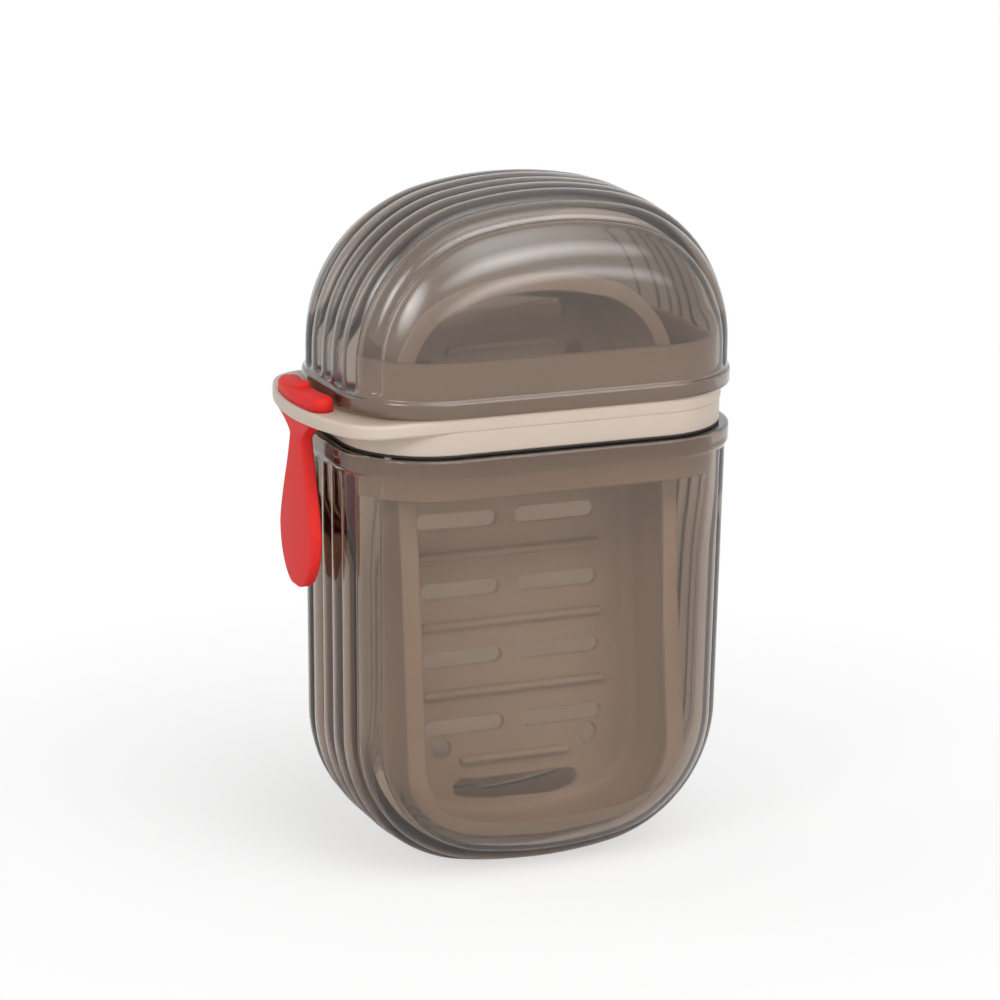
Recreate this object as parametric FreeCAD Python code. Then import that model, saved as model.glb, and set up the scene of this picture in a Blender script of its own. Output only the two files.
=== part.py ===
import FreeCAD, Part
import math
import os

from FreeCAD import Vector

# Travel soap box standing on its foot: X across the width, -Y the front, +Z up, in millimetres.

# Outside of the box
box_width = 80.0
box_depth = 50.0
base_height = 85.2
lid_height = 39.1
wall = 2.2
edge_radius = 18.0
foot_cut = 0.36

# Lower shell's outline seen from the front
base_taper = 0.8
base_corner_radius = 28.7
base_belly_radius = 85.0

# Upper shell's outline seen from the front
lid_corner_radius = 30.0
lid_belly_radius = 75.0

# Smooth lips at the two rims, standing proud of the fluted walls
lip_proud = 0.55
base_lip_height = 3.5
lid_lip_height = 3.0

# Flutes: ribs round the side band with a vee groove between them
rib_count = 7
flute_setback = 6.6
groove_width = 2.6
groove_depth = 0.8
groove_rise = 0.06
groove_end_gap = 0.7

# Collar between the shells
band_height = 6.9
band_inset = 1.85
tier_height = 2.8
tier_proud = 0.2
skirt_wall = 1.6
skirt_fit = 0.3
lower_skirt_depth = 9.0
upper_skirt_height = 10.4
skirt_lead = 0.5
tier_round = 0.7

# Ear plate on the left of the collar, with a bowed outer edge
ear_margin = 0.6
ear_corner_radius = 9.0
ear_bow_radius = 44.0
slot_clearance = 0.15

# Gaskets on the collar's two shoulders
gasket_thickness = 0.5
gasket_setback = 0.1
gasket_fit = 0.05

# Soap tray: a dish open to the front, leaning back in the collar
tray_side_gap = 7.75
tray_front_gap = 6.45
tray_floor_gap = 2.0
tray_head_height = 19.6
tray_depth = 19.5
tray_wall = 1.6
tray_corner_radius = 17.0
tray_belly_radius = 52.0
tray_edge_round = 4.5
tray_lean = 6.8
tray_lip = 1.0
tray_lip_depth = 1.4
tray_gap = 0.8

# Ribs and drain openings of the tray, set back from its sides and ends
tray_rib_pairs = 2
tray_rib_setback = 8.2
tray_rib_width = 1.3
tray_rib_rise = 0.9
end_rib_setback = 14.3
end_rib_side_setback = 16.0
drain_slot_inner = 1.85
drain_slot_setback = 8.9
drain_slot_width = 3.1
drain_hole_setback = 12.0
drain_hole_gap = 0.56
drain_hole_radius = 2.1
mouth_setback = 6.6
mouth_side_setback = 14.8
mouth_height = 4.4

# Ears of the tray, held between a ledge and a nub on each side of the collar
ear_tab_width = 10.0
ear_tab_height = 2.4
ear_tab_gap = 0.3
ledge_height = 3.0
ledge_drop = 5.2
nub_reach = 1.2
nub_height = 1.6

# Strap, buttoned through the ear plate
strap_thickness = 2.4
bar_length = 21.5
bar_width = 4.6
bar_height = 2.8
bar_round = 1.2
bar_setback = 1.4
nub_side = 3.0
nub_rise = 1.0
web_length = 15.0
shoulder_length = 17.5
shoulder_height = 2.4
shoulder_thickness = 3.4
shoulder_foot_share = 0.45
neck_gap = 0.15
neck_width = 6.6
tab_length = 29.5
tab_width = 16.0
tab_widest_share = 0.62
tab_slope_share = 0.5
tab_low_share = 0.86

# Length by which cutting solids pass the faces that they open
overrun = 1.0

# Most that an edge may lean and still count as lying flat in its plane
flat_slack = 0.01

# Heights that follow from the sizes above
lid_rim_z = base_height + band_height + 2 * gasket_thickness
box_height = lid_rim_z + lid_height
band_bottom = base_height + gasket_thickness
band_top = band_bottom + band_height
tier_bottom = band_top - tier_height

# Half sizes in plan
lip_half_x = box_width / 2
lip_half_y = box_depth / 2
wall_half_x = lip_half_x - lip_proud
wall_half_y = lip_half_y - lip_proud
band_half_x = lip_half_x - band_inset
band_half_y = lip_half_y - band_inset
skirt_inset = lip_proud + wall + skirt_fit
skirt_half_x = lip_half_x - skirt_inset
skirt_half_y = lip_half_y - skirt_inset
lip_corner = edge_radius + lip_proud

# Flutes: the outermost grooves stand back from the front and back faces
flute_half = wall_half_y - flute_setback
rib_pitch = 2 * flute_half / rib_count

# Tray: hangs in the collar, between the base's floor and its head above the collar's band
tray_low_z = wall - foot_cut + tray_floor_gap
tray_high_z = band_top + tray_head_height
tray_centre_z = (tray_low_z + tray_high_z) / 2
tray_half_length = (tray_high_z - tray_low_z) / 2 / math.cos(math.radians(tray_lean))
tray_half_width = skirt_half_x - skirt_wall - tray_side_gap
tray_back_y = skirt_wall + tray_front_gap + tray_depth - skirt_half_y
end_rib_place = tray_half_length - end_rib_setback
tray_rib_pitch = end_rib_place / (tray_rib_pairs + 1)
drain_hole_place = ((tray_rib_pairs + 1 / 2) * tray_rib_pitch
                    + drain_slot_width / 2 + drain_hole_gap + drain_hole_radius)
mouth_place = tray_half_length - mouth_setback
ledge_z = band_bottom - ledge_drop

# Strap's place: its bar stands between the lid's lip and the ear plate's edge
bar_x = -(lip_half_x + bar_setback + bar_width / 2)
ear_reach = bar_width / 2 + ear_margin - bar_x
pivot_z = tier_bottom - shoulder_height - neck_gap - strap_thickness / 2


def crowned_end(half, corner, belly):
    """Corner arc's centre, across from the middle and back from the crown, and its turn up to the belly arc."""
    across = half - corner
    rise = math.sqrt((belly - corner) ** 2 - across ** 2)
    return across, belly - rise, math.atan2(rise, across)


class Outline:
    """Half outline of a shell seen from the front: wall, corner arc and belly arc, at any inset."""

    def __init__(self, rim_half, foot_half, height, corner, belly, rim_z, direction):
        self.rim_half = rim_half
        self.foot_half = foot_half
        self.height = height
        self.corner = corner
        self.belly = belly
        self.rim_z = rim_z
        self.direction = direction

    def place(self, x, drop, y):
        return Vector(x, y, self.rim_z + self.direction * drop)

    def face(self, inset, y, rim_past=0.0):
        """Closed face of the outline, moved inwards by inset, in the plane at depth y."""
        corner = self.corner - inset
        corner_x, corner_back, end = crowned_end(self.foot_half, self.corner, self.belly)
        corner_drop = self.height - corner_back
        rim_x = self.rim_half - inset
        reach = math.hypot(rim_x - corner_x, corner_drop)
        start = math.atan2(-corner_drop, rim_x - corner_x) + math.acos(corner / reach)

        def on_corner(angle, side):
            x = corner_x + corner * math.cos(angle)
            return self.place(side * x, corner_drop + corner * math.sin(angle), y)

        rim_right = self.place(rim_x, -rim_past, y)
        rim_left = self.place(-rim_x, -rim_past, y)
        right, left = on_corner(start, 1), on_corner(start, -1)
        low_right, low_left = on_corner(end, 1), on_corner(end, -1)
        middle = (start + end) / 2
        crown = self.place(0, self.height - inset, y)
        edges = [
            Part.LineSegment(rim_left, rim_right).toShape(),
            Part.LineSegment(rim_right, right).toShape(),
            Part.Arc(right, on_corner(middle, 1), low_right).toShape(),
            Part.Arc(low_right, crown, low_left).toShape(),
            Part.Arc(low_left, on_corner(middle, -1), left).toShape(),
            Part.LineSegment(left, rim_left).toShape(),
        ]
        return Part.Face(Part.Wire(edges))

    def solid(self, inset, half_depth, rounding, rim_past=0.0):
        """The outline's slab, from front to back, with its front and back edges rounded."""
        block = self.face(inset, -half_depth, rim_past).extrude(Vector(0, 2 * half_depth, 0))
        flat = [edge for edge in block.Edges if edge.BoundBox.YLength < flat_slack]
        rim = self.rim_z - self.direction * rim_past
        round_edges = [edge for edge in flat if edge.BoundBox.ZLength > wall or
                       abs(edge.CenterOfMass.z - rim) > wall]
        return block.makeFillet(rounding, round_edges)


base_outline = Outline(wall_half_x, wall_half_x - base_taper, base_height + foot_cut,
                       base_corner_radius, base_belly_radius, base_height, -1)
lid_outline = Outline(wall_half_x, wall_half_x, lid_height,
                      lid_corner_radius, lid_belly_radius, lid_rim_z, 1)


def box(x0, x1, y0, y1, z0, z1):
    return Part.makeBox(x1 - x0, y1 - y0, z1 - z0, Vector(x0, y0, z0))


def rounded_face(half_x, half_y, radius, z):
    """Rectangle in plan with rounded corners."""
    slant = radius * math.sqrt(1 / 2)
    arcs = []
    for side, end in ((1, -1), (1, 1), (-1, 1), (-1, -1)):
        centre = Vector(side * (half_x - radius), end * (half_y - radius), z)
        along = centre + Vector(side * radius, 0, 0)
        across = centre + Vector(0, end * radius, 0)
        middle = centre + Vector(side * slant, end * slant, 0)
        ends = (across, middle, along) if side != end else (along, middle, across)
        arcs.append(ends)
    return arc_loop(arcs)


def arc_loop(arcs):
    """Closed face of arcs, each given by three points and joined to the next by a straight edge."""
    edges = []
    for index, (first, middle, last) in enumerate(arcs):
        edges.append(Part.Arc(first, middle, last).toShape())
        following = arcs[(index + 1) % len(arcs)][0]
        if last.distanceToPoint(following) > flat_slack:
            edges.append(Part.LineSegment(last, following).toShape())
    return Part.Face(Part.Wire(edges))


def prism(half_x, half_y, radius, z0, z1):
    face = rounded_face(half_x, half_y, radius, z0)
    return face.extrude(Vector(0, 0, z1 - z0))


def edge_drop(y):
    """How far the rounded front or back edge falls below the side band at depth y."""
    past = abs(y) - (wall_half_y - edge_radius)
    if past <= 0:
        return 0.0
    return edge_radius - math.sqrt(edge_radius ** 2 - past ** 2)


def groove(outline, y, end_drop):
    """Ring that cuts one vee groove round a shell, ending square short of the rim lip."""
    half = groove_width / 2
    sections = []
    for place, sink in ((y - half, -groove_rise), (y, groove_depth), (y + half, -groove_rise)):
        sections.append(outline.face(edge_drop(place) + sink, place, overrun).OuterWire)
    core = Part.makeLoft(sections, True, True)
    end_z = outline.rim_z + outline.direction * end_drop
    far_z = outline.rim_z + outline.direction * (outline.height + overrun)
    slab = box(-lip_half_x - overrun, lip_half_x + overrun, y - half, y + half,
               min(end_z, far_z), max(end_z, far_z))
    return slab.cut(core)


def make_shell(outline, lip_height):
    """Hollow shell with a smooth lip at the rim and flutes round its side band."""
    body = outline.solid(0, wall_half_y, edge_radius)
    lip_end = outline.rim_z + outline.direction * lip_height
    lip = prism(lip_half_x, lip_half_y, lip_corner,
                min(outline.rim_z, lip_end), max(outline.rim_z, lip_end))
    room = outline.solid(wall, wall_half_y - wall, edge_radius - wall, overrun)
    shell = body.fuse(lip).cut(room)
    for index in range(rib_count + 1):
        y = index * rib_pitch - flute_half
        shell = shell.cut(groove(outline, y, lip_height + groove_end_gap))
    return shell


def make_base_shell():
    shell = make_shell(base_outline, base_lip_height)
    ground = box(-box_width, box_width, -box_depth, box_depth, -box_height, 0)
    return shell.cut(ground)


def make_lid_shell():
    return make_shell(lid_outline, lid_lip_height)


def rounded_plate(face, thickness, rounding):
    """Plate of the given outline with its top and bottom edges rounded."""
    plate = face.extrude(Vector(0, 0, thickness))
    edges = [edge for edge in plate.Edges if edge.BoundBox.ZLength < flat_slack]
    return plate.makeFillet(rounding, edges)


def tray_ledges():
    """Ledge and snap nub on each side of the collar's skirt, for the tray's ears."""
    inner = skirt_half_x - skirt_wall
    root = skirt_half_x - skirt_wall / 2
    half = ear_tab_width / 2
    ear_top = ledge_z + ear_tab_height
    pieces = []
    for side in (-1, 1):
        for reach, z0, z1 in ((inner - ledge_tip(), ledge_z - ledge_height, ledge_z),
                              (nub_reach, ear_top + ear_tab_gap, ear_top + ear_tab_gap + nub_height)):
            ends = sorted((side * (inner - reach), side * root))
            pieces.append(box(ends[0], ends[1], -half, half, z0, z1))
    return pieces


def ledge_tip():
    """Half distance between the two ledges, clear of the tray's side walls."""
    return tray_half_width + tray_lip + tray_gap


def tier_face():
    """Plan of the collar's upper tier: round corners on the right, the bowed ear on the left."""
    half_y = band_half_y + tier_proud
    right = edge_radius - band_inset + lip_proud + tier_proud
    right_x = band_half_x + tier_proud - right
    across, back, turn = crowned_end(half_y, ear_corner_radius, ear_bow_radius)
    ear_x = back - ear_reach
    slant = right * math.sqrt(1 / 2)

    def on_ear(angle, end):
        x = ear_x - ear_corner_radius * math.sin(angle)
        return Vector(x, end * (across + ear_corner_radius * math.cos(angle)), tier_bottom)

    def on_right(x, y, end):
        return Vector(right_x + x, end * (half_y - right + y), tier_bottom)

    return arc_loop([
        (on_right(0, right, -1), on_right(slant, slant, -1), on_right(right, 0, -1)),
        (on_right(right, 0, 1), on_right(slant, slant, 1), on_right(0, right, 1)),
        (on_ear(0, 1), on_ear(turn / 2, 1), on_ear(turn, 1)),
        (on_ear(turn, 1), Vector(-ear_reach, 0, tier_bottom), on_ear(turn, -1)),
        (on_ear(turn, -1), on_ear(turn / 2, -1), on_ear(0, -1)),
    ])


def make_collar():
    """Ring with a skirt into each shell, a stepped band and the ear plate for the strap."""
    radius = edge_radius - band_inset + lip_proud
    skirt_radius = edge_radius - wall - skirt_fit
    band = prism(band_half_x, band_half_y, radius, band_bottom, band_top)
    tier = rounded_plate(tier_face(), tier_height, tier_round)
    skirt_face = rounded_face(skirt_half_x, skirt_half_y, skirt_radius, band_bottom - lower_skirt_depth)
    skirt_height = lower_skirt_depth + band_height + upper_skirt_height
    skirt = rounded_plate(skirt_face, skirt_height, skirt_lead)
    inner_radius = skirt_radius - skirt_wall
    opening = prism(skirt_half_x - skirt_wall, skirt_half_y - skirt_wall, inner_radius,
                    band_bottom - lower_skirt_depth - overrun,
                    band_top + upper_skirt_height + overrun)
    ring = band.fuse([tier, skirt]).cut(opening)
    slot_half_x = strap_thickness / 2 + slot_clearance
    slot_half_y = web_length / 2 + slot_clearance
    slot = box(bar_x - slot_half_x, bar_x + slot_half_x, -slot_half_y, slot_half_y,
               tier_bottom - overrun, band_top + overrun)
    return ring.cut(slot).fuse(tray_ledges()).removeSplitter()


def make_gasket(z0):
    """Flat ring round a skirt, on one of the collar's shoulders."""
    radius = edge_radius - wall - skirt_fit
    inner = prism(skirt_half_x + gasket_fit, skirt_half_y + gasket_fit, radius + gasket_fit,
                  z0 - overrun, z0 + gasket_thickness + overrun)
    outer = prism(band_half_x - gasket_setback, band_half_y - gasket_setback,
                  edge_radius - band_inset + lip_proud - gasket_setback, z0, z0 + gasket_thickness)
    return outer.cut(inner)


def tray_face(inset, y):
    """Capsule outline of the tray, in its own upright frame, moved inwards by inset."""
    corner = tray_corner_radius - inset
    corner_x, back, turn = crowned_end(tray_half_width, tray_corner_radius, tray_belly_radius)

    def on_corner(angle, side, end):
        x = corner_x + corner * math.cos(angle)
        return Vector(side * x, y, end * (tray_half_length - back + corner * math.sin(angle)))

    arcs = []
    for end in (1, -1):
        near, far = end, -end
        crown = Vector(0, y, end * (tray_half_length - inset))
        arcs.append((on_corner(0, near, end), on_corner(turn / 2, near, end), on_corner(turn, near, end)))
        arcs.append((on_corner(turn, near, end), crown, on_corner(turn, far, end)))
        arcs.append((on_corner(turn, far, end), on_corner(turn / 2, far, end), on_corner(0, far, end)))
    return arc_loop(arcs)


def tray_slab(inset, y_front, y_back, rounding):
    """Slab of the tray's outline with its back edge rounded."""
    slab = tray_face(inset, y_front).extrude(Vector(0, y_back - y_front, 0))
    back = [edge for edge in slab.Edges
            if edge.BoundBox.YLength < flat_slack and edge.CenterOfMass.y > (y_front + y_back) / 2]
    return slab.makeFillet(rounding, back)


def long_slot(x0, x1, z, width, y0, y1):
    """Round-ended slot from x0 to x1, passing from y0 to y1."""
    radius = width / 2
    ends = [Part.makeCylinder(radius, y1 - y0, Vector(x, y0, z), Vector(0, 1, 0))
            for x in (x0 + radius, x1 - radius)]
    return box(x0 + radius, x1 - radius, y0, y1, z - radius, z + radius).fuse(ends)


def tray_openings():
    """Drain slots, round holes and end mouths, as cutting solids through the tray's panel."""
    y0, y1 = -tray_wall - tray_edge_round, overrun
    cuts = []
    for row in range(-tray_rib_pairs - 1, tray_rib_pairs + 1):
        z = (row + 1 / 2) * tray_rib_pitch
        for side in (-1, 1):
            ends = sorted((side * drain_slot_inner, side * (tray_half_width - drain_slot_setback)))
            cuts.append(long_slot(ends[0], ends[1], z, drain_slot_width, y0, y1))
    for end in (-1, 1):
        for side in (-1, 1):
            hole_x = side * (tray_half_width - drain_hole_setback)
            centre = Vector(hole_x, y0, end * drain_hole_place)
            cuts.append(Part.makeCylinder(drain_hole_radius, y1 - y0, centre, Vector(0, 1, 0)))
        half = tray_half_width - mouth_side_setback
        cuts.append(long_slot(-half, half, end * mouth_place, mouth_height, y0, y1))
    return cuts


def tray_ribs():
    """Round-ended ribs standing on the panel, which hold the soap off it."""
    y0, y1 = -tray_wall - tray_rib_rise, -tray_wall / 2
    rows = range(-tray_rib_pairs, tray_rib_pairs + 1)
    places = [(row * tray_rib_pitch, tray_rib_setback) for row in rows]
    places += [(end * end_rib_place, end_rib_side_setback) for end in (-1, 1)]
    ribs = []
    for z, setback in places:
        half = tray_half_width - setback
        ribs.append(long_slot(-half, half, z, tray_rib_width, y0, y1))
    return ribs


def lean(shape):
    """Moves a solid from the tray's own upright frame to its place in the box."""
    placed = shape.copy()
    placed.rotate(Vector(0, 0, 0), Vector(1, 0, 0), -tray_lean)
    placed.translate(Vector(0, tray_back_y, tray_centre_z))
    return placed


def tray_ears():
    """Flat tabs that reach from the tray's side walls onto the collar's ledges."""
    inner = tray_half_width - tray_wall / 2
    outer = skirt_half_x - skirt_wall - ear_tab_gap
    half = ear_tab_width / 2 - ear_tab_gap
    ears = []
    for side in (-1, 1):
        ends = sorted((side * inner, side * outer))
        ears.append(box(ends[0], ends[1], -half, half, ledge_z, ledge_z + ear_tab_height))
    return ears


def tray_room():
    """Space inside the closed shells that the tray may fill, clear of their rounded ends."""
    gap = wall + tray_gap
    parts = []
    for outline in (base_outline, lid_outline):
        parts.append(outline.solid(gap, wall_half_y - gap, edge_radius - gap, band_height))
    return parts[0].fuse(parts[1])


def make_drain_tray():
    """Leaning dish with drain openings, soap ribs and an ear on each side."""
    dish = tray_slab(0, -tray_depth, 0, tray_edge_round)
    lip = tray_face(-tray_lip, -tray_depth).extrude(Vector(0, tray_lip_depth, 0))
    hollow = tray_slab(tray_wall, -tray_depth - overrun, -tray_wall, tray_edge_round - tray_wall)
    dish = dish.fuse(lip).cut(hollow).cut(tray_openings()).fuse(tray_ribs())
    dish = lean(dish).common(tray_room())
    return dish.fuse(tray_ears()).removeSplitter()


def bean_face():
    """Plan of the strap's bar: bowed like the ear's edge and round at both ends."""
    radius = bar_width / 2
    bow_x = ear_bow_radius - ear_reach
    middle = bow_x - bar_x
    turn = (bar_length / 2 - radius) / middle

    def at(distance, angle):
        return Vector(bow_x - distance * math.cos(angle), distance * math.sin(angle), band_top)

    def tip(end):
        return at(middle, end * turn) + Vector(radius * math.sin(turn), end * radius * math.cos(turn), 0)

    outer, inner = middle + radius, middle - radius
    return arc_loop([
        (at(outer, -turn), at(outer, 0), at(outer, turn)),
        (at(outer, turn), tip(1), at(inner, turn)),
        (at(inner, turn), at(inner, 0), at(inner, -turn)),
        (at(inner, -turn), tip(-1), at(outer, -turn)),
    ])


def make_strap_head():
    """Bar on top of the ear plate, web through its slot and shoulder below it."""
    bar = bean_face().extrude(Vector(0, 0, bar_height))
    top = [edge for edge in bar.Edges
           if edge.BoundBox.ZLength < flat_slack and edge.CenterOfMass.z > band_top + bar_height / 2]
    bar = bar.makeFillet(bar_round, top)
    half = nub_side / 2
    nub = box(bar_x - half, bar_x + half, -half, half, band_top + bar_height / 2,
              band_top + bar_height + nub_rise)
    web = box(bar_x - strap_thickness / 2, bar_x + strap_thickness / 2,
              -web_length / 2, web_length / 2, tier_bottom - shoulder_height / 2,
              band_top + bar_height / 2)
    return bar.fuse([nub, web, make_shoulder()]).removeSplitter()


def make_shoulder():
    """Wedge below the ear plate, narrowing towards the neck."""
    x0 = bar_x - shoulder_thickness / 2
    wide = shoulder_length / 2
    narrow = wide * shoulder_foot_share
    foot_z = tier_bottom - shoulder_height
    points = [Vector(x0, -wide, tier_bottom), Vector(x0, -narrow, foot_z),
              Vector(x0, narrow, foot_z), Vector(x0, wide, tier_bottom)]
    return Part.Face(Part.makePolygon(points + points[:1])).extrude(Vector(shoulder_thickness, 0, 0))


def leaf_face(x):
    """Leaf outline in the plane at x: neck, slope, widest place and round tip, the same on both sides."""
    neck, half = neck_width / 2, tab_width / 2
    wide_drop = tab_length * tab_widest_share
    slope_half = neck + (half - neck) * tab_slope_share
    low_drop = tab_length * tab_low_share
    low_half = half * math.sqrt(1 - ((low_drop - wide_drop) / (tab_length - wide_drop)) ** 2)
    side = [(neck, 0), (slope_half, wide_drop * tab_slope_share), (half, wide_drop), (low_half, low_drop)]
    points = [Vector(x, y, pivot_z - drop) for y, drop in side]
    points.append(Vector(x, 0, pivot_z - tab_length))
    points += [Vector(x, -y, pivot_z - drop) for y, drop in reversed(side)]
    curve = Part.BSplineCurve()
    curve.interpolate(points, InitialTangent=Vector(0, 0, -1), FinalTangent=Vector(0, 0, 1))
    top = Part.LineSegment(points[-1], points[0])
    return Part.Face(Part.Wire([curve.toShape(), top.toShape()]))


def make_strap_tab():
    """Leaf that hangs from the neck, with a round barrel at its turning axis."""
    radius = strap_thickness / 2
    leaf = leaf_face(bar_x - radius).extrude(Vector(strap_thickness, 0, 0))
    neck_start = Vector(bar_x, -neck_width / 2, pivot_z)
    barrel = Part.makeCylinder(radius, neck_width, neck_start, Vector(0, 1, 0))
    return leaf.fuse(barrel).removeSplitter()


nodes = {
    "base_shell": make_base_shell(),
    "lid_shell": make_lid_shell(),
    "collar": make_collar(),
    "base_gasket": make_gasket(base_height),
    "lid_gasket": make_gasket(band_top),
    "drain_tray": make_drain_tray(),
    "strap_head": make_strap_head(),
    "strap_tab": make_strap_tab(),
}

os.makedirs("parts", exist_ok=True)
for name, shape in nodes.items():
    shape.exportStep("parts/" + name + ".step")
    size = shape.BoundBox
    print(name, len(shape.Solids), shape.isValid(), round(shape.Volume),
          [round(v, 2) for v in (size.XMin, size.XMax, size.YMin, size.YMax, size.ZMin, size.ZMax)])
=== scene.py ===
import math

import bmesh
import bpy
from mathutils import Matrix, Vector
from mathutils.geometry import delaunay_2d_cdt


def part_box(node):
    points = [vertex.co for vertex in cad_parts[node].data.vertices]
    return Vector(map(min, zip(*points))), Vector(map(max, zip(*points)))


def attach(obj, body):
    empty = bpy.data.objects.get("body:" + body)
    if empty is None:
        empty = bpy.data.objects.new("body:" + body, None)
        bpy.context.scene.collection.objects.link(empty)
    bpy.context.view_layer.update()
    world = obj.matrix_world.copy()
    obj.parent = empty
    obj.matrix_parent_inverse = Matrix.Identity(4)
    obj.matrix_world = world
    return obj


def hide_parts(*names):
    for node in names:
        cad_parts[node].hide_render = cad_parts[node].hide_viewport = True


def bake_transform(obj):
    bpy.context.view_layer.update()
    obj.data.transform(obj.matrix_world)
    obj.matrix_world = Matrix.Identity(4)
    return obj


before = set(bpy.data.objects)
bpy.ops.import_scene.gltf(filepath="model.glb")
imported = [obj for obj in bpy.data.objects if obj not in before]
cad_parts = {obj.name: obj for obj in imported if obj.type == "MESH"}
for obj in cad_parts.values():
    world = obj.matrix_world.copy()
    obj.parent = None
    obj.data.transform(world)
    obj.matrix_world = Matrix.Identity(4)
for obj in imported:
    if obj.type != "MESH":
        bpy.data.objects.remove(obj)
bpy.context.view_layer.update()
mm = 0.001  # shapes are worked out in millimetres and written in metres
weldGap = 1e-4 * mm
quarterTurn = math.pi / 2
print("frame loaded:", ", ".join(sorted(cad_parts)))


def nodeBox(node):
    low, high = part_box(node)
    return low / mm, high / mm


def smoothStep(value, low, high):
    share = min(max((value - low) / (high - low), 0.0), 1.0)
    return share * share * (3 - 2 * share)


def spread(low, high, steps):
    return [low + (high - low) * k / steps for k in range(steps + 1)]


def joinRows(rows, closedLoft=False):
    # quads between closed rows of the same length
    points = [p for row in rows for p in row]
    width = len(rows[0])
    faces = []
    for i in range(len(rows) if closedLoft else len(rows) - 1):
        a, b = i * width, (i + 1) % len(rows) * width
        for j in range(width):
            k = (j + 1) % width
            faces.append((a + j, a + k, b + k, b + j))
    return points, faces


def closeEnds(rows):
    # rows joined side by side, with a face over each end
    points, faces = joinRows(rows)
    width = len(rows[0])
    faces.append(tuple(range(width - 1, -1, -1)))
    faces.append(tuple(range(len(points) - width, len(points))))
    return points, faces


def makePiece(name, parts, material):
    # parts are (points, faces) pairs in millimetres, kept as islands of one mesh
    points, faces = [], []
    for partPoints, partFaces in parts:
        shift = len(points)
        points += [Vector(p) * mm for p in partPoints]
        faces += [tuple(i + shift for i in face) for face in partFaces]
    mesh = bpy.data.meshes.new(name)
    mesh.from_pydata(points, [], faces)
    shape = bmesh.new()
    shape.from_mesh(mesh)
    bmesh.ops.remove_doubles(shape, verts=shape.verts, dist=weldGap)
    bmesh.ops.dissolve_degenerate(shape, edges=shape.edges, dist=weldGap)
    bmesh.ops.recalc_face_normals(shape, faces=shape.faces)
    for face in shape.faces:
        face.smooth = True
    shape.to_mesh(mesh)
    shape.free()
    mesh.materials.append(material)
    piece = bpy.data.objects.new(name, mesh)
    bpy.context.scene.collection.objects.link(piece)
    return piece


def newMaterial(name):
    material = bpy.data.materials.new(name)
    material.use_nodes = True
    tree = material.node_tree
    return material, tree, tree.nodes["Principled BSDF"], tree.nodes["Material Output"]


def addNode(tree, kind, **values):
    node = tree.nodes.new(kind)
    for key, value in values.items():
        if key in node.inputs:
            node.inputs[key].default_value = value
        else:
            setattr(node, key, value)
    return node


def noiseOf(tree, scale, detail):
    place = addNode(tree, "ShaderNodeTexCoord")
    noise = addNode(tree, "ShaderNodeTexNoise", Scale=scale, Detail=detail)
    tree.links.new(place.outputs["Object"], noise.inputs["Vector"])
    return noise.outputs["Fac"]


def rangeOf(tree, socket, low, high, fromLow=0.3, fromHigh=0.7):
    node = addNode(tree, "ShaderNodeMapRange")
    node.inputs["From Min"].default_value = fromLow
    node.inputs["From Max"].default_value = fromHigh
    node.inputs["To Min"].default_value = low
    node.inputs["To Max"].default_value = high
    tree.links.new(socket, node.inputs["Value"])
    return node.outputs["Result"]


def colourBetween(tree, socket, first, second, band=(0.35, 0.65)):
    ramp = addNode(tree, "ShaderNodeValToRGB")
    for element, position, colour in zip(ramp.color_ramp.elements, band, (first, second)):
        element.position = position
        element.color = (*colour, 1)
    tree.links.new(socket, ramp.inputs["Fac"])
    return ramp.outputs["Color"]


def bumpFrom(tree, socket, strength, distance):
    bump = addNode(tree, "ShaderNodeBump", Strength=strength, Distance=distance)
    tree.links.new(socket, bump.inputs["Height"])
    return bump.outputs["Normal"]


def larger(tree, first, second):
    either = addNode(tree, "ShaderNodeMath", operation="MAXIMUM")
    tree.links.new(first, either.inputs[0])
    tree.links.new(second, either.inputs[1])
    return either.outputs[0]


def anyRay(tree, rays):
    # 1 where one of the named kinds of ray meets the surface
    path = addNode(tree, "ShaderNodeLightPath")
    total = path.outputs[rays[0]]
    for ray in rays[1:]:
        total = larger(tree, total, path.outputs[ray])
    return total


def mixInto(tree, share, first, second, output):
    mix = addNode(tree, "ShaderNodeMixShader")
    tree.links.new(share, mix.inputs["Fac"])
    tree.links.new(first, mix.inputs[1])
    tree.links.new(second, mix.inputs[2])
    tree.links.new(mix.outputs["Shader"], output.inputs["Surface"])


smokeLook = {
    "deep": (0.61, 0.553, 0.499),
    "pale": (0.655, 0.597, 0.541),
    "smoke": (0.623, 0.523, 0.437),
    "smokeDensity": 300.0,  # per metre
    "lampTint": (0.99, 0.98, 0.97),
    "ior": 1.49,
    "smooth": 0.04,
    "hazy": 0.10,
    "coat": 0.36,
    "coatRoughness": 0.32,
    "cloud": (35.0, 4.0),  # scale and detail
    "wave": (60.0, 1.0),
    "waveStrength": 0.35,
    "waveDepth": 0.00012,
}
# the lid's copy of the smoke is painted darker and greyer than the base's: painted shade for the dark
# surroundings seen through it; it also has more gloss
shadedLidSmokeLook = dict(smokeLook, deep=(0.50, 0.46, 0.42), pale=(0.545, 0.505, 0.465), coat=0.65)


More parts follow.
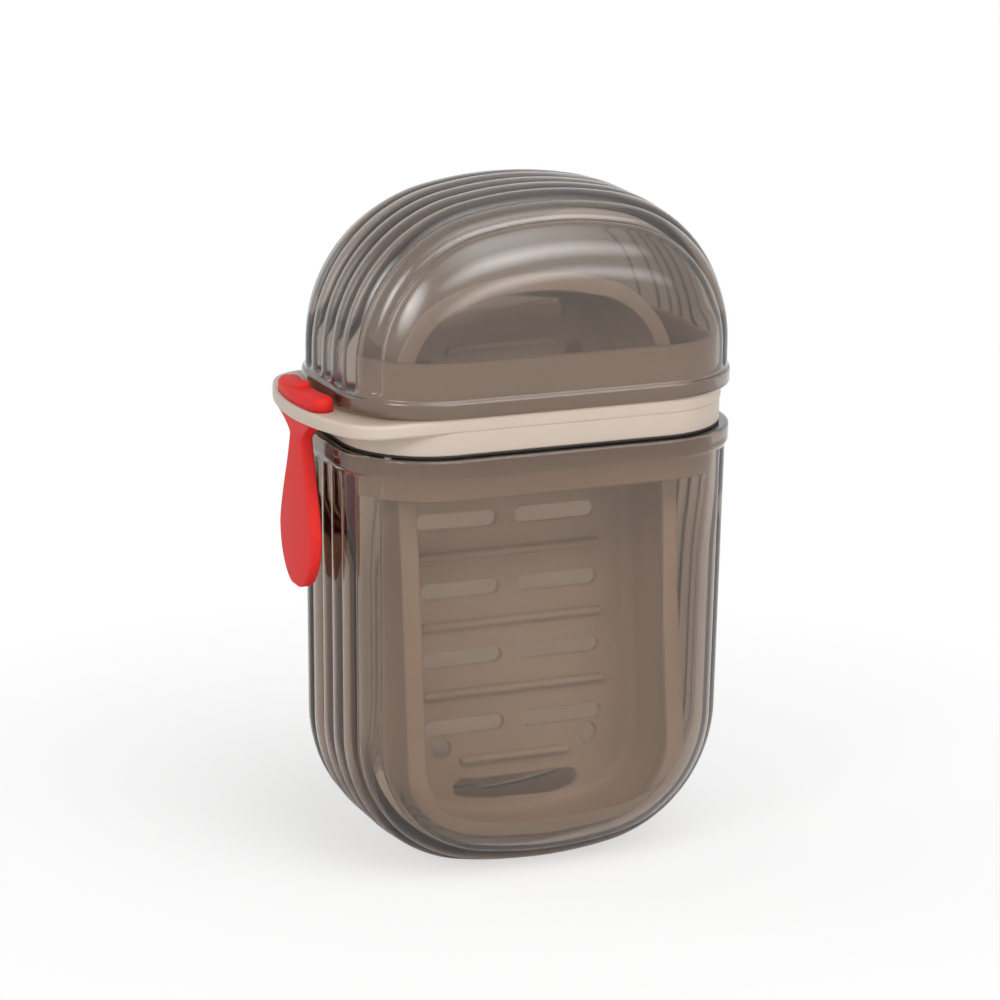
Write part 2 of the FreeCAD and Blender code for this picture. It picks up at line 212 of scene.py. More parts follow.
def makeSmoke(name, look):
    # clear plastic: bends what is behind it, and lets the lamps through to the tray
    material, tree, plastic, output = newMaterial(name)
    cloud = noiseOf(tree, *look["cloud"])
    tree.links.new(colourBetween(tree, cloud, look["deep"], look["pale"]), plastic.inputs["Base Color"])
    tree.links.new(rangeOf(tree, cloud, look["smooth"], look["hazy"]), plastic.inputs["Roughness"])
    plastic.inputs["Transmission Weight"].default_value = 1.0
    plastic.inputs["IOR"].default_value = look["ior"]
    plastic.inputs["Coat Weight"].default_value = look["coat"]
    plastic.inputs["Coat Roughness"].default_value = look["coatRoughness"]
    wave = noiseOf(tree, *look["wave"])
    ripple = bumpFrom(tree, wave, look["waveStrength"], look["waveDepth"])
    tree.links.new(ripple, plastic.inputs["Normal"])
    smoke = addNode(tree, "ShaderNodeVolumeAbsorption", Color=(*look["smoke"], 1),
                    Density=look["smokeDensity"])
    tree.links.new(smoke.outputs["Volume"], output.inputs["Volume"])
    through = addNode(tree, "ShaderNodeBsdfTransparent", Color=(*look["lampTint"], 1))
    lampLight = anyRay(tree, ("Is Shadow Ray", "Is Diffuse Ray"))
    mixInto(tree, lampLight, plastic.outputs["BSDF"], through.outputs["BSDF"], output)
    return material


satinGrain = {"cloud": (45.0, 3.0), "strength": 0.4, "depth": 0.00002}
collarLook = {"dark": (0.51, 0.422, 0.352), "light": (0.54, 0.446, 0.374), "roughness": (0.38, 0.48),
              "grain": (2500.0, 2.0)}
# the tray is the same beige plastic as the collar, painted lighter: painted light that makes up for the
# light the smoky shell holds back from it
trayPaintedLightLook = {"dark": (0.63, 0.547, 0.474), "light": (0.655, 0.572, 0.498), "roughness": (0.30, 0.38),
            "grain": (2500.0, 2.0)}
# the rings are seals; their near-black colour also paints the shadow in the gaps between the collar and the
# shells as a dark line
sealAndShadowLineLook = {"dark": (0.006, 0.006, 0.006), "light": (0.012, 0.011, 0.010), "roughness": (0.45, 0.6),
              "grain": (3000.0, 2.0)}
strapLook = {"dark": (0.63, 0.018, 0.016), "light": (0.69, 0.023, 0.020), "roughness": (0.50, 0.62),
             "grain": (3000.0, 2.0),
             "soft": {"Specular IOR Level": 0.22, "Subsurface Weight": 0.25,
                      "Subsurface Radius": (1.0, 0.2, 0.1), "Subsurface Scale": 0.0015}}


def makeSatin(name, look):
    # moulded plastic or rubber: faint clouding, a fine grain and uneven gloss
    material, tree, plastic = newMaterial(name)[:3]
    cloud = noiseOf(tree, *satinGrain["cloud"])
    tree.links.new(colourBetween(tree, cloud, look["dark"], look["light"]), plastic.inputs["Base Color"])
    tree.links.new(rangeOf(tree, cloud, *look["roughness"]), plastic.inputs["Roughness"])
    grain = noiseOf(tree, *look["grain"])
    skin = bumpFrom(tree, grain, satinGrain["strength"], satinGrain["depth"])
    tree.links.new(skin, plastic.inputs["Normal"])
    for socket, value in look.get("soft", {}).items():
        plastic.inputs[socket].default_value = value
    return material


smokyPlastic = makeSmoke("smokyPlastic", smokeLook)
# the lid's material carries painted shade in its darker tint
smokyLidPaintedShade = makeSmoke("smokyLidPaintedShade", shadedLidSmokeLook)
collarPlastic = makeSatin("collarPlastic", collarLook)
trayPlasticPaintedLight = makeSatin("trayPlasticPaintedLight", trayPaintedLightLook)
strapSilicone = makeSatin("strapSilicone", strapLook)
gasketRubberAndShadowLine = makeSatin("gasketRubberAndShadowLine", sealAndShadowLineLook)
print("materials made")

shellForm = {
    "wall": 2.2,
    "sideExtra": (0.5, 1.0),  # more plastic behind the reeds, at the crown and at the sides
    "sideExtraFrom": (10.6, 19.0),  # clear of the collar's skirts
    "edgeRadius": 18.0,
    "lipProud": 0.55,
    "rimRound": 0.5,
    "reedCount": 7,
    "reedSetback": 6.6,
    "grooveDepth": 0.8,
    "shoulder": 1.5,
    "reedEndGap": 0.5,
    "reedFade": 0.9,
    "reedSteps": 9,
    "cuspStep": 0.14,
    "shoulderSteps": (0.4, 0.75, 1.1, 1.5, 2.0),  # past the outermost valleys
    "edgeSteps": 12,
    "edgeEnd": 88.8,  # degrees round the long edge, just before the flat front
    "frontShares": (0.015, 0.06, 0.5, 0.94, 0.985),  # across the flat front and back
    "insideSteps": (22, 14),  # round the corner and the belly
    "outsideSteps": (34, 22),
    "insideStart": 1.0,
    "insideWallSteps": 5,
    "outsideWallSteps": 6,
    "fadeSteps": 8,
    "rimSteps": 5,
    "innerRim": ((0.3, 0.0), (0.09, 0.09), (0.0, 0.3)),  # drop and thinning at the wall's edge
    # under the lip: drop and share of its height
    "lipFoot": ((-0.5, 1.0), (-0.2, 0.93), (0.0, 0.7), (0.12, 0.35), (0.25, 0.1), (0.45, 0.0)),
}
baseForm = {"taper": 0.8, "corner": 28.7, "belly": 85.0, "lip": 3.5, "footCut": 0.36}
lidForm = {"taper": 0.0, "corner": 30.0, "belly": 75.0, "lip": 3.0, "footCut": 0.0}


def makeShell(name, node, form, upward, plastic):
    low, high = nodeBox(node)
    wall, proud = shellForm["wall"], shellForm["lipProud"]
    halfX, halfY = high.x - proud, high.y - proud
    edge = shellForm["edgeRadius"]
    flatHalf = halfY - edge
    rim = low.z if upward else high.z
    way = 1 if upward else -1
    height = high.z - low.z + form["footCut"]
    fluteHalf = halfY - shellForm["reedSetback"]
    pitch = 2 * fluteHalf / shellForm["reedCount"]
    depth = shellForm["grooveDepth"]
    reedRadius = (pitch ** 2 / 4 + depth ** 2) / (2 * depth)

    # outline seen from the front: straight wall, corner arc, belly arc
    corner, belly = form["corner"], form["belly"]
    across = halfX - form["taper"] - corner
    rise = math.sqrt((belly - corner) ** 2 - across ** 2)
    turn = math.atan2(rise, across)
    cornerDrop = height - belly + rise

    def grooveSink(y):
        past = abs(y) - fluteHalf
        if past > 0:
            return depth * max(1 - past / shellForm["shoulder"], 0) ** 2
        local = (y + fluteHalf) % pitch - pitch / 2
        return reedRadius - math.sqrt(reedRadius ** 2 - local ** 2)

    # places across the depth, closest at the valleys between the reeds
    cusp = shellForm["cuspStep"]
    depths = []
    for reed in range(shellForm["reedCount"]):
        start = reed * pitch - fluteHalf
        depths += [start, start + cusp]
        depths += spread(start + cusp, start + pitch - cusp, shellForm["reedSteps"])[1:]
    depths.append(fluteHalf)
    outer = [fluteHalf + step for step in (cusp, *shellForm["shoulderSteps"])]
    lastAngle = math.asin((outer[-1] - flatHalf) / edge)
    angles = spread(lastAngle, math.radians(shellForm["edgeEnd"]), shellForm["edgeSteps"])[1:]
    outer += [flatHalf + edge * math.sin(angle) for angle in angles + [quarterTurn]]
    depths = [-y for y in reversed(outer)] + depths + outer
    frontShares = shellForm["frontShares"]

    def rowLoop(station, inset, reed, extra=0.0):
        x0, drop0, cosine, sine = station
        right = []
        for nominal in depths:
            past = abs(nominal) - flatHalf
            side = 1 if nominal > 0 else -1
            angle = math.asin(min(past / edge, 1.0)) if past > 0 else 0.0
            sink = reed * grooveSink(nominal)
            depthIn = inset + extra * math.cos(angle)
            fall = depthIn + sink * math.cos(angle)
            y = nominal
            if past > 0:
                radius = edge - depthIn
                fall += radius * (1 - math.cos(angle))
                y = side * (flatHalf + radius * math.sin(angle) - sink * math.sin(angle))
            z = rim + way * (drop0 - fall * sine)
            right.append(Vector((x0 - fall * cosine, y, z if upward else max(z, 0.0))))
        left = [Vector((-p.x, p.y, p.z)) for p in reversed(right)]
        back = [right[-1].lerp(left[0], share) for share in frontShares]
        front = [left[-1].lerp(right[0], share) for share in frontShares]
        return right + back + left + front

    def stations(drops, cornerSteps, bellySteps):
        found = [(halfX - form["taper"] * drop / cornerDrop, drop, 1.0, 0.0) for drop in drops]
        for angle in spread(0, turn, cornerSteps):
            found.append((across + corner * math.cos(angle), cornerDrop + corner * math.sin(angle),
                          math.cos(angle), math.sin(angle)))
        for angle in spread(turn, quarterTurn, bellySteps)[1:]:
            found.append((belly * math.cos(angle), height - belly + belly * math.sin(angle),
                          math.cos(angle), math.sin(angle)))
        return found

    lip, rounding = form["lip"], shellForm["rimRound"]
    drops = spread(shellForm["insideStart"], cornerDrop, shellForm["insideWallSteps"])[:-1]
    inside = stations(drops, *shellForm["insideSteps"])
    crownExtra, sideExtra = shellForm["sideExtra"]
    rows = []
    for station in reversed(inside):
        extra = crownExtra + (sideExtra - crownExtra) * station[2]
        rows.append(rowLoop(station, wall, 0.0, extra * smoothStep(station[1], *shellForm["sideExtraFrom"])))
    rimRows = [(drop, wall - thinning) for drop, thinning in shellForm["innerRim"]]
    rimRows += [(rounding * (1 - math.sin(a)), rounding * (1 - math.cos(a)) - proud)
                for a in spread(quarterTurn, 0, shellForm["rimSteps"])]
    rimRows += [(lip + drop, -share * proud) for drop, share in shellForm["lipFoot"]]
    for drop, inset in rimRows:
        rows.append(rowLoop((halfX, drop, 1.0, 0.0), inset, 0.0))
    fadeStart = lip + shellForm["reedEndGap"]
    fadeEnd = fadeStart + shellForm["reedFade"]
    drops = spread(fadeStart, fadeEnd, shellForm["fadeSteps"])
    drops += spread(fadeEnd, cornerDrop, shellForm["outsideWallSteps"])[1:-1]
    for station in stations(drops, *shellForm["outsideSteps"]):
        rows.append(rowLoop(station, 0.0, smoothStep(station[1], fadeStart, fadeEnd)))
    return makePiece(name, [joinRows(rows)], plastic)


baseShell = makeShell("baseShell", "base_shell", baseForm, False, smokyPlastic)
lidShell = makeShell("lidShell", "lid_shell", lidForm, True, smokyLidPaintedShade)
for piece, node, body in ((baseShell, "base_shell", "base"), (lidShell, "lid_shell", "lid")):
    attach(piece, body)
    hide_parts(node)
print("shells made:", len(baseShell.data.polygons), len(lidShell.data.polygons), "faces")

collarForm = {
    "bandInset": 1.85,
    "bandHeight": 6.9,
    "tierHeight": 2.8,
    "tierProud": 0.2,
    "tierRound": 0.7,
    "tierBite": 0.2,  # how far the tier goes into the ring
    "skirtInset": 3.05,
    "skirtWall": 1.6,
    "skirtLead": 0.5,
    "bandRound": 0.3,
    "earCorner": 9.0,
    "earBow": 44.0,
    "earSteps": (16, 12),  # round the large and the small arcs
    "tierSteps": 5,
    "ledge": {"width": 10.0, "height": 3.0, "top": 80.5, "tip": 29.4, "round": 0.3},
    "nub": {"reach": 1.2, "height": 1.6, "bottom": 83.2},
}
gasketForm = {"setback": 0.1, "fit": 0.05, "round": 0.15}
baseHigh = nodeBox("base_shell")[1]
lipRadius = shellForm["edgeRadius"] + shellForm["lipProud"]


def planLoop(halfX, halfY, radius, z, steps=14, centreX=0.0):
    # rounded rectangle, the same number of points at every size
    loop = []
    for quarter, (side, end) in enumerate(((1, 1), (-1, 1), (-1, -1), (1, -1))):
        for angle in spread(quarter * quarterTurn, (quarter + 1) * quarterTurn, steps):
            loop.append(Vector((centreX + side * (halfX - radius) + radius * math.cos(angle),
                                end * (halfY - radius) + radius * math.sin(angle), z)))
    return loop


def rimLoop(inset, z):
    # the box's plan, moved in from the shells' lips
    return planLoop(baseHigh.x - inset, baseHigh.y - inset, lipRadius - inset, z)


def ringPart(profile):
    # closed ring from (inset, height) pairs that go once round its section
    return joinRows([rimLoop(inset, z) for inset, z in profile], closedLoft=True)


def roundedCorner(inset, z, radius, fromInset, fromZ, toInset, toZ, steps=4):
    # quarter round at a corner of a ring's section, between two directions
    found = []
    for angle in spread(0, quarterTurn, steps):
        before, after = 1 - math.sin(angle), 1 - math.cos(angle)
        found.append((inset + radius * (before * fromInset + after * toInset),
                      z + radius * (before * fromZ + after * toZ)))
    return found


def earOutline():
    # the collar's upper tier in plan, as points with outward directions
    halfY = baseHigh.y - collarForm["bandInset"] + collarForm["tierProud"]
    right = lipRadius - collarForm["bandInset"] + collarForm["tierProud"]
    rightX = baseHigh.x - collarForm["bandInset"] + collarForm["tierProud"] - right
    reach = -nodeBox("collar")[0].x
    small, bow = collarForm["earCorner"], collarForm["earBow"]
    across = halfY - small
    rise = math.sqrt((bow - small) ** 2 - across ** 2)
    earX = bow - rise - reach
    turn = math.atan2(rise, across)
    largeSteps, smallSteps = collarForm["earSteps"]
    arcs = (
        (rightX, right - halfY, right, -quarterTurn, 0.0, largeSteps),
        (rightX, halfY - right, right, 0.0, quarterTurn, largeSteps),
        (earX, across, small, quarterTurn, quarterTurn + turn, smallSteps),
        (bow - reach, 0.0, bow, quarterTurn + turn, 3 * quarterTurn - turn, largeSteps),
        (earX, -across, small, 3 * quarterTurn - turn, 3 * quarterTurn, smallSteps),
    )
    found = []
    for centreX, centreY, radius, start, end, steps in arcs:
        for angle in spread(start, end, steps):
            out = Vector((math.cos(angle), math.sin(angle), 0))
            found.append((Vector((centreX, centreY, 0)) + out * radius, out))
    return found


def tierPart(bottom, top):
    rounding, steps = collarForm["tierRound"], collarForm["tierSteps"]
    outline = earOutline()
    hidden = collarForm["skirtInset"] + collarForm["tierBite"]
    hideX, hideY, hideRadius = baseHigh.x - hidden, baseHigh.y - hidden, lipRadius - hidden

    def inner(point, z):
        core = Vector((min(max(point.x, hideRadius - hideX), hideX - hideRadius),
                       min(max(point.y, hideRadius - hideY), hideY - hideRadius), 0))
        found = core + (point - core).normalized() * hideRadius
        return Vector((found.x, found.y, z))

    rows = [[inner(point, bottom) for point, out in outline]]
    for angle in spread(-quarterTurn, 0, steps):
        inset, z = rounding * (1 - math.cos(angle)), bottom + rounding * (1 + math.sin(angle))
        rows.append([point - out * inset + Vector((0, 0, z)) for point, out in outline])
    for angle in spread(0, quarterTurn, steps):
        inset, z = rounding * (1 - math.cos(angle)), top - rounding * (1 - math.sin(angle))
        rows.append([point - out * inset + Vector((0, 0, z)) for point, out in outline])
    rows.append([inner(point, top) for point, out in outline])
    return joinRows(rows, closedLoft=True)


def blockPart(low, high, rounding, steps=3, fullness=1.01):
    # box with rounded upright edges and rims; fullness leaves a little corner on its end faces
    middleX, middleY = (low[0] + high[0]) / 2, (low[1] + high[1]) / 2
    halfX, halfY = (high[0] - low[0]) / 2, (high[1] - low[1]) / 2
    turns = [(a, low[2] + rounding * (1 + math.sin(a))) for a in spread(-quarterTurn, 0, steps)]
    turns += [(a, high[2] - rounding * (1 - math.sin(a))) for a in spread(0, quarterTurn, steps)]
    rows = []
    for angle, z in turns:
        inset = rounding * (1 - math.cos(angle))
        loop = planLoop(halfX - inset, halfY - inset, rounding * fullness - inset, z, steps)
        rows.append([p + Vector((middleX, middleY, 0)) for p in loop])
    return closeEnds(rows)


def makeCollar():
    low, high = nodeBox("collar")
    bandBottom = nodeBox("base_gasket")[1].z
    bandTop = bandBottom + collarForm["bandHeight"]
    tierBottom = bandTop - collarForm["tierHeight"]
    lead, skirt = collarForm["skirtLead"], collarForm["skirtInset"]
    inner, band = skirt + collarForm["skirtWall"], collarForm["bandInset"]
    profile = roundedCorner(inner, low.z, lead, 0, 1, -1, 0)
    profile += roundedCorner(skirt, low.z, lead, 1, 0, 0, 1)
    profile += [(skirt, bandBottom)]
    profile += roundedCorner(band, bandBottom, collarForm["bandRound"], 1, 0, 0, 1)
    profile += [(band, tierBottom), (band, bandTop - lead), (skirt, bandTop - lead)]
    profile += roundedCorner(skirt, high.z, lead, 0, -1, 1, 0)
    profile += roundedCorner(inner, high.z, lead, -1, 0, 0, -1)
    parts = [ringPart(profile), tierPart(tierBottom, bandTop)]
    ledge, nub = collarForm["ledge"], collarForm["nub"]
    wallX = baseHigh.x - inner
    for side in (-1, 1):
        for tip, bottom, top in ((ledge["tip"], ledge["top"] - ledge["height"], ledge["top"]),
                                 (wallX - nub["reach"], nub["bottom"], nub["bottom"] + nub["height"])):
            ends = sorted((side * tip, side * (wallX + collarForm["skirtWall"] / 2)))
            parts.append(blockPart((ends[0], -ledge["width"] / 2, bottom),
                                   (ends[1], ledge["width"] / 2, top), ledge["round"]))
    return makePiece("collarRing", parts, collarPlastic)


def makeGasket(name, node):
    low, high = nodeBox(node)
    outer = collarForm["bandInset"] + gasketForm["setback"]
    inner = collarForm["skirtInset"] - gasketForm["fit"]
    rounding = gasketForm["round"]
    profile = roundedCorner(inner, low.z, rounding, 0, 1, -1, 0)
    profile += roundedCorner(outer, low.z, rounding, 1, 0, 0, 1)
    profile += roundedCorner(outer, high.z, rounding, 0, -1, 1, 0)
    profile += roundedCorner(inner, high.z, rounding, -1, 0, 0, -1)
    return makePiece(name, [ringPart(profile)], gasketRubberAndShadowLine)


collarRing = makeCollar()
baseGasket = makeGasket("baseGasket", "base_gasket")
lidGasket = makeGasket("lidGasket", "lid_gasket")
for piece, node, finish in ((collarRing, "collar", "collar_beige"),
                            (baseGasket, "base_gasket", "gasket_dark"),
                            (lidGasket, "lid_gasket", "gasket_dark")):
    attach(piece, "collar")
    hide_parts(node)
print("collar and gaskets made")

strapForm = {
    "thickness": 2.4,
    "edgeRound": 0.6,
    "shoulder": (8.75, 3.4),
    "neck": (3.3, 3.9),
    "widest": (8.6, 22.0),
    "barWidth": 4.6,
    "barHeight": 2.8,
    "barRound": 1.3,
    "nubSide": 3.0,
    "nubFoot": 1.0,
    "nubRound": 0.7,
    "bendReach": 1.7,
    "shoulderCurve": (1.4, 1.5),  # in width and in thickness
    "leafCurve": (0.55, 0.45, 0.95),  # straight share, swelling share and power
    "leafSteps": (14, 16, 18),  # down the shoulder, to the widest place and to the tip
    "leafCorner": 6,
    "barSteps": (9, 16, 6),  # round an end, along the bar and round its top edge
    "thinnest": 0.02,
    "roundShare": 0.98,
}


def leafPart(x, plate, tip):
    # hanging leaf and shoulder: sections across the strap, from the plate down to the tip
    shoulderHalf, shoulderThick = strapForm["shoulder"]
    neckHalf, neckDrop = strapForm["neck"]
    wideHalf, wideDrop = strapForm["widest"]
    length = plate - tip
    thin, thinnest, roundShare = strapForm["thickness"], strapForm["thinnest"], strapForm["roundShare"]
    widthCurve, thickCurve = strapForm["shoulderCurve"]
    straight, swell, power = strapForm["leafCurve"]
    neckSteps, wideSteps, tipSteps = strapForm["leafSteps"]
    rows = []
    drops = spread(0, neckDrop, neckSteps) + spread(neckDrop, wideDrop, wideSteps)[1:]
    drops += [wideDrop + (length - wideDrop) * math.sin(a) for a in spread(0, quarterTurn, tipSteps)[1:]]
    for drop in drops:
        thick = thin
        if drop <= neckDrop:
            share = 1 - drop / neckDrop
            half = neckHalf + (shoulderHalf - neckHalf) * share ** widthCurve
            thick = thin + (shoulderThick - thin) * share ** thickCurve
        elif drop <= wideDrop:
            share = (drop - neckDrop) / (wideDrop - neckDrop)
            grown = (share * straight + smoothStep(share, 0, 1) * swell) ** power
            half = neckHalf + (wideHalf - neckHalf) * grown
        else:
            share = (drop - wideDrop) / (length - wideDrop)
            half = max(wideHalf * math.sqrt(max(1 - share ** 2, 0)), thinnest)
        near = min((length - drop) / strapForm["edgeRound"], 1.0)
        thick *= math.sqrt(max(1 - (1 - near) ** 2, thinnest ** 2))
        rounding = min(strapForm["edgeRound"], thick / 2 * roundShare, half * roundShare)
        rows.append(planLoop(thick / 2, half, rounding, plate - drop, strapForm["leafCorner"], x))
    return closeEnds(rows)


def barPart(x, bottom, halfLength):
    # bean-shaped bar on the ear plate, bowed like the ear's edge
    bowX = collarForm["earBow"] + nodeBox("collar")[0].x
    middle = bowX - x
    half, height, rounding = strapForm["barWidth"] / 2, strapForm["barHeight"], strapForm["barRound"]
    endSteps, alongSteps, edgeSteps = strapForm["barSteps"]
    straight = halfLength - half
    ends = [straight + half * math.sin(a) for a in spread(0, quarterTurn, endSteps)]
    places = [-s for s in reversed(ends)] + spread(-straight, straight, alongSteps)[1:-1] + ends
    rows = []
    for place in places:
        past = max(abs(place) - straight, 0) / half
        width = max(half * math.sqrt(max(1 - past ** 2, 0)), strapForm["thinnest"])
        edge = min(halfLength - abs(place), rounding)
        tall = height - rounding + math.sqrt(rounding ** 2 - (rounding - edge) ** 2)
        turn = min(rounding, width * strapForm["roundShare"], tall)
        section = [(-width, 0.0)]
        section += [(-width + turn * (1 - math.cos(a)), tall - turn * (1 - math.sin(a)))
                    for a in spread(0, quarterTurn, edgeSteps)]
        section += [(-across, z) for across, z in reversed(section)]
        angle = place / middle
        rows.append([Vector((bowX - (middle - across) * math.cos(angle),
                             (middle - across) * math.sin(angle), bottom + z)) for across, z in section])
    return closeEnds(rows)


def makeStrap():
    headHigh = nodeBox("strap_head")[1]
    tabLow, tabHigh = nodeBox("strap_tab")
    x = (tabLow.x + tabHigh.x) / 2
    bandTop = nodeBox("lid_gasket")[0].z
    plate = bandTop - collarForm["tierHeight"]
    side, foot = strapForm["nubSide"] / 2, bandTop + strapForm["nubFoot"]
    parts = [leafPart(x, plate, tabLow.z), barPart(x, bandTop, headHigh.y),
             blockPart((x - side, -side, foot), (x + side, side, headHigh.z), strapForm["nubRound"])]
    strap = makePiece("strap", parts, strapSilicone)
    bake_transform(strap)
    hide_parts("strap_head", "strap_tab")


makeStrap()
print("strap made")

trayForm = {
    "halfWidth": 27.6,
    "halfLength": 54.56,
    "corner": 17.0,
    "belly": 52.0,
    "depth": 19.5,
    "wall": 1.6,
    "edgeRound": 3.9,
    "lip": 1.0,
    "lipDepth": 1.4,
    "rimRound": 0.4,
    "rimBead": 0.9,
    "beadDepth": (4.2, 3.0),  # where the bead starts below the rim, and its length
    "chamfer": 0.12,
    "join": 0.06,  # flat margin round each rounded edge of the panel
    "lean": 6.8,
    "place": (0.0, 5.6, 58.02),
    "room": 0.8,
    "pitch": 13.42,
    "slotRows": 6,
    "ribPairs": 2,
    "ribHalf": 19.4,
    "ribWidth": 1.5,
    "ribRise": 1.5,
    "ribEnd": 88.0,  # degrees round a rib's end
    "endRib": (40.26, 11.6),
    "slot": (1.85, 18.7, 3.1),
    "hole": (15.6, 37.76, 2.1),
    "mouth": (11.5, 46.3, 2.0),
    "openingRound": 0.2,
    "outlineSteps": (14, 10),  # round a corner and half an end
    "holeSteps": 14,
    "dishSteps": {"inside": 8, "bead": 6, "rim": 4, "outside": 10, "opening": 3},
    "ribSteps": (6, 10),  # round an end and across the top
    "ear": {"inner": 26.8, "outer": 35.05, "half": 4.7, "bottom": 80.5, "top": 82.9, "round": 0.4},
}


def trayOutline(inset):
    # capsule with crowned ends, as (x, z) pairs in the tray's own frame
    corner, belly = trayForm["corner"], trayForm["belly"]
    across = trayForm["halfWidth"] - corner
    rise = math.sqrt((belly - corner) ** 2 - across ** 2)
    turn = math.atan2(rise, across)
    cornerZ, bellyZ = trayForm["halfLength"] - belly + rise, trayForm["halfLength"] - belly
    cornerSteps, endSteps = trayForm["outlineSteps"]
    quarter = [(across + (corner - inset) * math.cos(a), cornerZ + (corner - inset) * math.sin(a))
               for a in spread(0, turn, cornerSteps)]
    quarter += [((belly - inset) * math.cos(a), bellyZ + (belly - inset) * math.sin(a))
                for a in spread(turn, quarterTurn, endSteps)[1:]]
    half = quarter + [(-x, z) for x, z in reversed(quarter[:-1])]
    return half + [(-x, -z) for x, z in half]


def roundEnds(x0, x1, z, radius, grow, steps=10):
    # round-ended opening along x
    right = [(x1 - radius + (radius + grow) * math.cos(a), z + (radius + grow) * math.sin(a))
             for a in spread(-quarterTurn, quarterTurn, steps)]
    left = [(x0 + radius - (radius + grow) * math.cos(a), z - (radius + grow) * math.sin(a))
            for a in spread(-quarterTurn, quarterTurn, steps)]
    return right + left


def mouthLoop(end, grow, steps=10, bowSteps=6):
    # opening at an end of the tray: straight on one side, bowed like the end on the other
    x, z, radius = trayForm["mouth"]
    middle = trayForm["halfLength"] - trayForm["belly"]
    turn = math.atan2(z - middle, x)
    bow = math.hypot(x, z - middle) + radius + grow
    half = [(x + (radius + grow) * math.cos(a), z + (radius + grow) * math.sin(a))
            for a in spread(-quarterTurn, turn, steps)]
    half += [(bow * math.cos(a), middle + bow * math.sin(a))
             for a in spread(turn, quarterTurn, bowSteps)[1:]]
    loop = half + [(-px, pz) for px, pz in reversed(half[:-1])]
    return [(px, end * pz) for px, pz in loop]


def trayOpenings():
    # each opening as a function that gives its loop, grown by a length
    slotIn, slotOut, slotWide = trayForm["slot"]
    holeX, holeZ, holeRadius = trayForm["hole"]
    found = []
    rows = trayForm["slotRows"]
    for row in range(rows):
        z = (row - (rows - 1) / 2) * trayForm["pitch"]
        for ends in ((slotIn, slotOut), (-slotOut, -slotIn)):
            found.append(lambda grow, e=ends, z=z: roundEnds(*e, z, slotWide / 2, grow))
    for end in (-1, 1):
        for x in (-holeX, holeX):
            found.append(lambda grow, x=x, e=end: roundEnds(x - holeRadius, x + holeRadius, e * holeZ,
                                                            holeRadius, grow, trayForm["holeSteps"]))
        found.append(lambda grow, e=end: mouthLoop(e, grow))
    return found


shellRooms = ((*nodeBox("base_shell"), baseForm, -1), (*nodeBox("lid_shell"), lidForm, 1))


def insideRoom(point):
    # keeps a point of the leaning dish clear of the shells' rounded ends
    gap = shellForm["wall"] + trayForm["room"]
    for low, high, form, way in shellRooms:
        rim = low.z if way > 0 else high.z
        height = high.z - low.z + form["footCut"]
        halfX, edge = high.x - shellForm["lipProud"], shellForm["edgeRadius"] - gap
        flatHalf = high.y - shellForm["lipProud"] - shellForm["edgeRadius"]
        across = halfX - form["taper"] - form["corner"]
        rise = math.sqrt((form["belly"] - form["corner"]) ** 2 - across ** 2)
        share = min(max(abs(point.y) - flatHalf, 0) / edge, 1.0)
        inset = gap + edge * (1 - math.sqrt(1 - share ** 2))
        bellyZ = height - form["belly"]
        drop = (point.z - rim) * way
        if drop > bellyZ + rise:
            onBelly = math.atan2(drop - bellyZ, abs(point.x)) > math.atan2(rise, across)
            centre = Vector((0, bellyZ))
            if not onBelly:
                centre = Vector((math.copysign(across, point.x), bellyZ + rise))
            away = Vector((point.x, drop)) - centre
            most = (form["belly"] if onBelly else form["corner"]) - inset
            if away.length > most:
                x, drop = centre + away * (most / away.length)
                return Vector((x, point.y, rim + way * drop))
    return point


def holds(loop, x, z):
    # whether a closed loop of (x, z) pairs goes round a point
    inside = False
    for (x0, z0), (x1, z1) in zip(loop, loop[1:] + loop[:1]):
        if (z0 > z) != (z1 > z) and x < x0 + (x1 - x0) * (z - z0) / (z1 - z0):
            inside = not inside
    return inside


def panelPart(loops, y):
    # flat face inside the first loop and outside the openings in it
    corners, edges = [], []
    for loop in loops:
        first = len(corners)
        corners += [Vector(corner) for corner in loop]
        edges += [(first + k, first + (k + 1) % len(loop)) for k in range(len(loop))]
    insideOnly, nearest = 1, 1e-6
    filled = delaunay_2d_cdt(corners, edges, [], insideOnly, nearest)
    flat, faces = filled[0], []
    for triangle in filled[2]:
        x, z = sum((flat[k] for k in triangle), Vector((0, 0))) / 3
        if not any(holds(loop, x, z) for loop in loops[1:]):
            faces.append(tuple(triangle))
    return [Vector((corner.x, y, corner.y)) for corner in flat], faces


